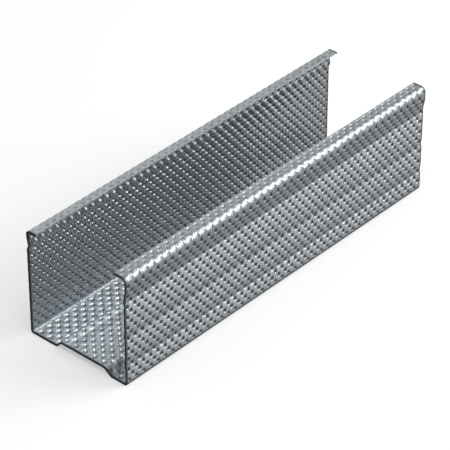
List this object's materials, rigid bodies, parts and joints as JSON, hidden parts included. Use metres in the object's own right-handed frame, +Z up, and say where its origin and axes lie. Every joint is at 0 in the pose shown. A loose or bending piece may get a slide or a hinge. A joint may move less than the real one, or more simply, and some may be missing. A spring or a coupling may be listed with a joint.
{
  "type": "steel stud",
  "caption": "Short length of cold-rolled, dimpled galvanised sheet-steel channel stud with returned lips, swaged flanges and a raised panel along its web.",
  "frame": {"origin": "middle of the footprint on the floor, under the web", "axes": "+Y along the length, X across the web with the wider flange at +X, +Z up from the web to the lips"},
  "size_m": [0.0488, 0.168, 0.0472],
  "materials": {
    "galvanised_sheet": "hot-dip zinc, dimpled from both sides, satin"
  },
  "bodies": {
    "root": {"stud": "galvanised_sheet"}
  },
  "joints": []
}
